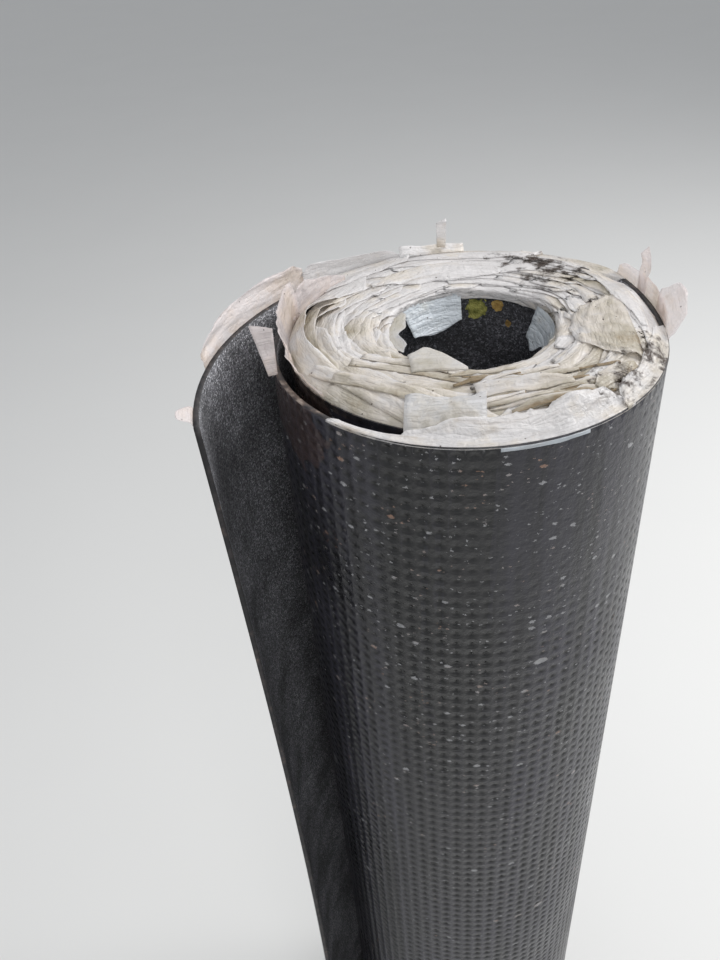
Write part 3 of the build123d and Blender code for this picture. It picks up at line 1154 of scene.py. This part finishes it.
for turn in range(TURN_COUNT):
    radius = min(BORE_RADIUS + TURN_PITCH * (turn + 1), BUNDLE_RADIUS) - EDGE_INSET
    start, left = film_random.random() * 2 * math.pi, 2 * math.pi
    while left > SHORTEST_SWEEP:
        sweep = min(left, math.radians(60 + 110 * film_random.random()))
        turn_leaf(radius, start, sweep + LEAF_OVERLAP)
        start, left = start + sweep, left - sweep

film_piece("film_leaves", film)

# %% [markdown]
# Over the leaves lie the pieces that catch the eye. Each is a leaf on a straight line between
# two points, or on an arc round the axis, laid on top of all that is there before it. Its line
# and its lean waver a little, as torn film does.

# %% Scraps and arcs
SCRAP_LIFT = 0.0004
SMOOTHED_OVER = 7
PATH_WAVER = 0.0012


def top_of(path):
    """The smoothed height of what lies under a path so far."""
    height = support[map_cells(path)] + SCRAP_LIFT
    padded = np.pad(height, SMOOTHED_OVER // 2, mode="edge")
    return np.maximum(np.convolve(padded, np.ones(SMOOTHED_OVER) / SMOOTHED_OVER, mode="valid"), height)


def scrap(first, last, width, lean, tone, fan=0.0, base=None, **how):
    """A leaf on a straight line between two plan points, spreading to the left of it.

    fan turns its sides apart, in degrees, so that it widens as it goes, or narrows below 0.
    It starts on top of what lies there, or at the height `base` over the felt.
    """
    first, last = np.array(first), np.array(last)
    length = np.linalg.norm(last - first)
    t = np.linspace(0, 1, max(int(length / LEAF_STEP), 8))
    ahead = (last - first) / length
    turn = math.atan2(ahead[0], -ahead[1]) - np.radians(fan) * (2 * t - 1)
    inward = ring_around(1.0, turn)
    along = t * length
    path = first + (last - first) * t[:, None] + inward * PATH_WAVER * waves(along, 0.02, 0.08)[:, None]
    wide = np.interp(t, np.linspace(0, 1, len(width)), width) * (1.0 + 0.05 * waves(along, 0.008, 0.04))
    if base is None:
        base = top_of(path)
    bow = np.radians(lean + 3.0 * waves(along, 0.02, 0.08))
    tone = tone + 0.05 * waves(along, 0.02, 0.08)
    lay_leaf(path, inward, wide, bow, tone, base=base, bend_by=0.02, **how)


def arc_leaf(radius, start, end, width, lean, tone, base=None, **how):
    """A leaf on a circle round the axis, between two directions in degrees."""
    count = max(int(radius * math.radians(end - start) / LEAF_STEP), 8)
    angle = np.radians(np.linspace(start, end, count))
    outward = ring_around(1.0, angle)
    along = radius * (angle - angle[0])
    wide = np.interp(angle, np.linspace(angle[0], angle[-1], len(width)), width)
    wide = wide * (1.0 + 0.10 * waves(along, 0.006, 0.03))
    bow = np.radians(lean + 3.0 * waves(along, 0.02, 0.06))
    if base is None:
        base = top_of(outward * radius)
    lay_leaf(outward * radius, -outward, wide, bow, tone + 0 * angle, base=base, bend_by=0.02, **how)

# %% [markdown]
# Torn strips cross the front: four long ones on the left, then a fan of short narrow ones on
# the right, laid like shingles from the back to the front, and a broad one over them.

# %% Strips across the front
FLAT_LEAN = 92
FAN_STRIPS = 36
FAN_RISE = (15.0, 8.0)
FAN_ACROSS, FAN_BACK, FAN_DEPTH = (-0.014, 0.062), -0.064, 0.036
FAN_LENGTH, FAN_WIDTH, FAN_TONE = (0.022, 0.032), (0.0024, 0.0036), (0.36, 0.90)
FAN_EDGE = 0.106


def from_range(least, more):
    """A random value, at least the first and up to `more` above it."""
    return least + more * film_random.random()


for first, last, width, tone in (
    ((-0.088, -0.056), (-0.030, -0.102), (0.006, 0.014, 0.016), 0.36),
    ((-0.074, -0.066), (-0.006, -0.100), (0.008, 0.012, 0.010), 0.55),
    ((-0.066, -0.050), (0.020, -0.078), (0.006, 0.009, 0.006), 0.48),
    ((-0.060, -0.042), (0.010, -0.066), (0.005, 0.008, 0.006), 0.34),
):
    scrap(first, last, width, FLAT_LEAN, tone)
for number in range(FAN_STRIPS):
    rise = math.radians(film_random.normal(*FAN_RISE))
    x = from_range(*FAN_ACROSS)
    y = FAN_BACK - FAN_DEPTH * (number + film_random.random()) / FAN_STRIPS
    length = from_range(*FAN_LENGTH)
    end = np.array((x + length * math.cos(rise), y + length * math.sin(rise)))
    end = end * min(1.0, FAN_EDGE / np.linalg.norm(end))
    wide = from_range(*FAN_WIDTH)
    tone = from_range(*FAN_TONE)
    scrap((x, y), end, (0.002, wide, wide * 0.8, 0.002), FLAT_LEAN, tone, wrinkle=0.0005)
scrap((0.004, -0.086), (0.053, -0.074), (0.012, 0.011, 0.010), FLAT_LEAN, 0.42)
film_piece("film_strips", film)

# %% [markdown]
# Two cool, clearer scraps lie in front: a square one, and one that comes to a point over the
# bore. On the right lies a broad crumpled sheet, and round it long bands of the outer margins:
# two on the right, a short yellowed one before them, and two at the back.

# %% Square, point, sheet and bands
scrap((-0.033, -0.107), (0.008, -0.107), (0.022, 0.024), 91, 0.12, slant=0.9, wrinkle=0.0005, rows=16)
scrap((-0.031, -0.060), (-0.001, -0.055), (0.024, 0.034, 0.022, 0.003), 84, 0.40, wrinkle=0.0003)
film_piece("film_scraps", cool_film)

scrap(
    (0.092, -0.044), (0.087, 0.020), (0.014, 0.032, 0.036, 0.030, 0.012), FLAT_LEAN, 0.50,
    wrinkle=0.0014, slant=0.9, rows=20,
)
arc_leaf(0.107, -24, 62, (0.004, 0.016, 0.012, 0.018, 0.016), FLAT_LEAN, 0.16, wrinkle=0.0005, slant=0.05)
arc_leaf(0.099, -8, 50, (0.004, 0.016, 0.011, 0.004), FLAT_LEAN, 0.30, wrinkle=0.0006, slant=0.05)
arc_leaf(0.101, -50, -30, (0.004, 0.012, 0.010, 0.004), FLAT_LEAN, 0.62, wrinkle=0.0008, slant=0.2)
arc_leaf(0.104, 64, 130, (0.006, 0.020, 0.024, 0.022, 0.006), FLAT_LEAN, 0.14, wrinkle=0.0004, slant=0.05)
arc_leaf(0.082, 58, 142, (0.004, 0.018, 0.021, 0.020, 0.005), FLAT_LEAN, 0.10, wrinkle=0.0004, slant=0.05)
film_piece("film_bands", film)

# %% [markdown]
# The loose turn has a margin too, torn into lengths: two folded flat over the front, three
# pressed inward from the back right to the flap, and one that rises beside the flap. Each is
# one line here: where it starts and ends along the sheet, its width and its lean. Two small
# scraps at the back come last, and one of them stands upright.

# %% Leaves on the loose turn
def loose_leaf(start, end, width, lean, tone, torn=0.010, **how):
    """One leaf on the loose turn, between two distances along it, torn off slantwise at its ends."""
    along = np.arange(start, end, LEAF_STEP)
    points, outward = loose_turn(along, np.full(along.shape, ROLL_HEIGHT))
    path = points + outward * (SHEET / 2 + 0.0002)
    t = (along - start) / (end - start)
    wide = np.interp(t, np.linspace(0, 1, len(width)), width)
    bow = np.interp(t, np.linspace(0, 1, len(lean)), lean)
    wide = wide * (1.0 + 0.07 * waves(along, 0.010, 0.05))
    wide = wide * np.clip(0.25 + np.minimum(along - start, end - along) / torn, 0.25, 1)
    bow = np.radians(bow + 5.0 * waves(along, 0.02, 0.09))
    lay_leaf(path, -outward, np.maximum(wide, 0.002), bow, tone + 0.05 * waves(along, 0.02, 0.08), **how)


smooth = {"bend_by": 0.12, "slant": 0.05, "wrinkle": 0.0005}
loose_leaf(0.334, 0.505, (0.006, 0.008, 0.017, 0.020, 0.018, 0.012), (95, 95), 0.06, **smooth)
loose_leaf(0.498, 0.588, (0.012, 0.013, 0.008), (96, 94), 0.32, **smooth)
loose_leaf(0.655, 0.735, (0.010, 0.024, 0.026), (91, 92), 0.30, wrinkle=0.0006, bend_by=0.2)
loose_leaf(0.720, 0.830, (0.022, 0.028, 0.028, 0.020), (92, 92), 0.12, wrinkle=0.0004, bend_by=0.2)
loose_leaf(0.812, 0.896, (0.024, 0.026, 0.024), (91, 90, 84), 0.14, wrinkle=0.0005, bend_by=0.2)
loose_leaf(0.818, 0.896, (0.008, 0.012, 0.017), (42, 26, 8), 0.04, wrinkle=0.0006, bend_by=0.8)
scrap((-0.048, 0.103), (-0.004, 0.108), (0.007, 0.008), 64, 0.10)
scrap((-0.0225, 0.1085), (-0.0165, 0.109), (0.019, 0.022), -8, 0.16, fan=-6)
film_piece("film_rim", film)

# %% [markdown]
# Where the margin stands free, light comes through it and it looks pinkish; that pink is
# painted into the film's colour, as light from a brick wall: one long length leans outward along
# the flap, three tabs stand up at the right, and one leans over the gap on the left. A lean
# below zero falls outward.

# %% Tabs
loose_leaf(0.892, 1.008, (0.017, 0.019, 0.016, 0.010), (-8, -16, -20, -14), 0.24, bend_by=0.8)
loose_leaf(0.590, 0.668, (0.009, 0.012, 0.009), (-12, -8, -10), 0.35, bend_by=0.8)
loose_leaf(0.574, 0.612, (0.014, 0.021, 0.018), (-44, -38), 0.22, bend_by=0.7)
loose_leaf(0.630, 0.642, (0.022, 0.025, 0.018), (-4, 6), 0.10, torn=0.003, bend_by=0.9)
scrap((-0.1115, -0.0500), (-0.1065, -0.0478), (0.029, 0.025), 42, 0.06, fan=12, base=0.0, wrinkle=0.0004)
film_piece("film_tabs", film_painted_brick_pink)

# %% [markdown]
# A few scraps hang down inside the bore, from the innermost turn. They are leaves again, on the
# bore's own circle, bent so far over that they point down, with nothing under them. Two are of
# the bluish film, whose blue is a painted reflection of the sky, and so is a sliver that hangs
# over the front rim onto the skin, where its pale blue also serves as a painted glint.

# %% Scraps in the bore
def bore_scrap(start, end, width, lean, tone, **how):
    """A leaf that hangs down the bore's wall between two directions, in degrees."""
    arc_leaf(BORE_RADIUS - 0.0012, start, end, width, lean, tone, base=0.001, hangs=True, **how)


bore_scrap(97, 150, (0.017, 0.020, 0.021, 0.019), 150, 0.0, wrinkle=0.0004)
loose_leaf(
    0.426, 0.472, (0.0002, 0.0014, 0.0026, 0.0004), (-176, -176), 0.0, hangs=True, wrinkle=0.0002, bend_by=0.2
)
bore_scrap(-24, 34, (0.004, 0.024, 0.015, 0.026, 0.022), 158, 0.10, wrinkle=0.0005)
film_piece("film_painted_sky_reflection", film_painted_sky_blue)

bore_scrap(150, 212, (0.004, 0.010, 0.007, 0.012, 0.005), 112, 0.52, wrinkle=0.0005)
bore_scrap(46, 96, (0.004, 0.003, 0.005), 168, 0.25, wrinkle=0.0004)
film_piece("film_hanging", cool_film)

# %% [markdown]
# On the left the outermost margins were never trodden down. They still stand round the tight
# turns like a collar, over the gap, and light comes through them; their pink tint is that light,
# painted into the film's colour. They are arcs of film again, that lean outward. A last small
# scrap of the same film sticks out at the flap's free edge.

# %% The collar on the left
COLLAR_RADIUS = 0.1064

pleated = {"base": 0.0, "wrinkle": 0.0008, "slant": 1.4}
arc_leaf(COLLAR_RADIUS, 140, 176, (0.002, 0.009, 0.015, 0.019, 0.018, 0.010), -4, 0.18, **pleated)
arc_leaf(COLLAR_RADIUS, 170, 203, (0.010, 0.019, 0.017, 0.013), -15, 0.26, **pleated)
arc_leaf(COLLAR_RADIUS, 199, 224, (0.008, 0.013, 0.010, 0.004), -24, 0.40, **pleated)
loose_leaf(1.046, 1.064, (0.005, 0.010, 0.009), (-78, -62), 0.12, torn=0.003, bend_by=0.4)
film_piece("film_collar", film_painted_brick_pink)

# %% [markdown]
# A wide pale floor takes the roll's shadow. It isn't a part of the roll.

# %% Floor
FLOOR_HALF = 12.0
FLOOR_PALE, FLOOR_DULL = (0.72, 0.715, 0.70), 0.97


def make_plain(name, colour):
    """A plain matt finish with a trace of unevenness."""
    material, tree, output = new_material(name)
    place = add(tree, "ShaderNodeTexCoord").outputs["Object"]
    cloudy = noise(tree, place, scale=3.0, detail=4.0)
    tone = blend(tree, cloudy, colour, [part * FLOOR_DULL for part in colour])
    coat(tree, output, tone, Roughness=0.9)
    return material


corners = np.array([(-1, -1, 0), (1, -1, 0), (1, 1, 0), (-1, 1, 0)]) * FLOOR_HALF
floor = mesh_piece("floor", corners, [(0, 1, 2, 3)], (make_plain("pale_floor", FLOOR_PALE),))
print("floor", 2 * FLOOR_HALF, "m across")

# %% [markdown]
# The light is soft and comes from all round, as under an overcast sky. One sun lamp would throw
# a hard shadow and leave the gap black, so the light is made of the world, which is a pale
# blue, and of three large area lights. The strongest stands high on the right, where the skin
# shows its grey sheen.

# %% Light and world
SKY_COLOUR, SKY_STRENGTH = (0.93, 0.96, 1.0, 1), 0.50


def soft_box(name, place, aim_height, size, power):
    """A square area light at a place, turned toward a point on the roll's axis."""
    data = bpy.data.lights.new(name, "AREA")
    data.shape, data.size, data.energy = "SQUARE", size, power
    light = bpy.data.objects.new(name, data)
    light.location = place
    aim = Vector((0.0, 0.0, aim_height)) - Vector(place)
    light.rotation_euler = aim.to_track_quat("-Z", "Y").to_euler()
    bpy.context.scene.collection.objects.link(light)


soft_box("sky_right", (2.0, 1.0, 2.6), 0.8, 1.6, 74)
soft_box("sky_front", (0.6, -2.2, 2.7), 0.8, 1.4, 24)
soft_box("sky_above", (0.1, 0.3, 2.4), 1.0, 0.9, 7)

world = bpy.data.worlds.new("open_sky")
world.use_nodes = True
background = world.node_tree.nodes["Background"]
background.inputs["Color"].default_value = SKY_COLOUR
background.inputs["Strength"].default_value = SKY_STRENGTH
bpy.context.scene.world = world
bpy.context.scene.view_settings.view_transform = "Standard"
